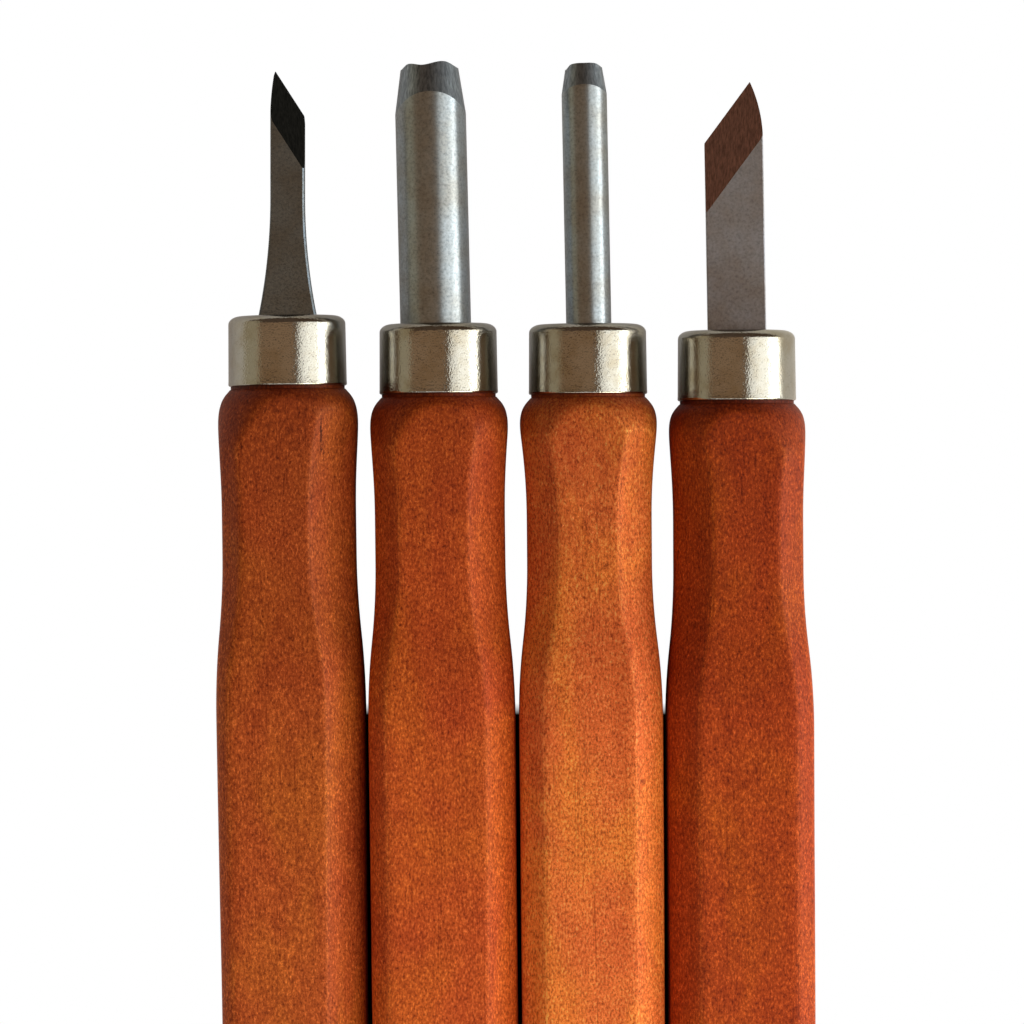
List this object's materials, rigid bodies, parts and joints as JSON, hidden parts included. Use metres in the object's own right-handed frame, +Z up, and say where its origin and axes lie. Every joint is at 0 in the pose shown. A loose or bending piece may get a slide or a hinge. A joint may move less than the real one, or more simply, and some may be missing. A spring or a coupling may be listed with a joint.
{
  "type": "lino cutter set",
  "caption": "Hand tools for cutting lino: waisted octagonal wooden handles with metal ferrules, holding skew knife and gouge blades, laid side by side.",
  "frame": {"origin": "middle of the set's box, on the table the tools lie on", "axes": "+X across the row from the narrow knife to the broad knife, +Y along the tools towards the blade tips, +Z up from the table"},
  "size_m": [0.0608, 0.1374, 0.0146],
  "materials": {
    "narrow_knife_wood": "stained and lightly sealed",
    "wide_gouge_wood": "stained and lightly sealed",
    "narrow_gouge_wood": "stained and lightly sealed",
    "broad_knife_wood": "stained and lightly sealed",
    "ferrule_plate": "nickel plated, polished",
    "blade_steel": "ground tool steel"
  },
  "bodies": {
    "narrow_knife": {"narrow_knife_handle": "narrow_knife_wood", "narrow_knife_ferrule": "ferrule_plate", "narrow_knife_blade": "blade_steel"},
    "wide_gouge": {"wide_gouge_handle": "wide_gouge_wood", "wide_gouge_ferrule": "ferrule_plate", "wide_gouge_blade": "blade_steel"},
    "narrow_gouge": {"narrow_gouge_handle": "narrow_gouge_wood", "narrow_gouge_ferrule": "ferrule_plate", "narrow_gouge_blade": "blade_steel"},
    "broad_knife": {"broad_knife_handle": "broad_knife_wood", "broad_knife_ferrule": "ferrule_plate", "broad_knife_blade": "blade_steel"}
  },
  "joints": [
    {"name": "wide_gouge_lift", "type": "slide", "parent": "narrow_knife", "child": "wide_gouge", "axis": [0, 0, 1], "range_m": [0, 0.03]},
    {"name": "narrow_gouge_lift", "type": "slide", "parent": "narrow_knife", "child": "narrow_gouge", "axis": [0, 0, 1], "range_m": [0, 0.03]},
    {"name": "broad_knife_lift", "type": "slide", "parent": "narrow_knife", "child": "broad_knife", "axis": [0, 0, 1], "range_m": [0, 0.03]}
  ]
}
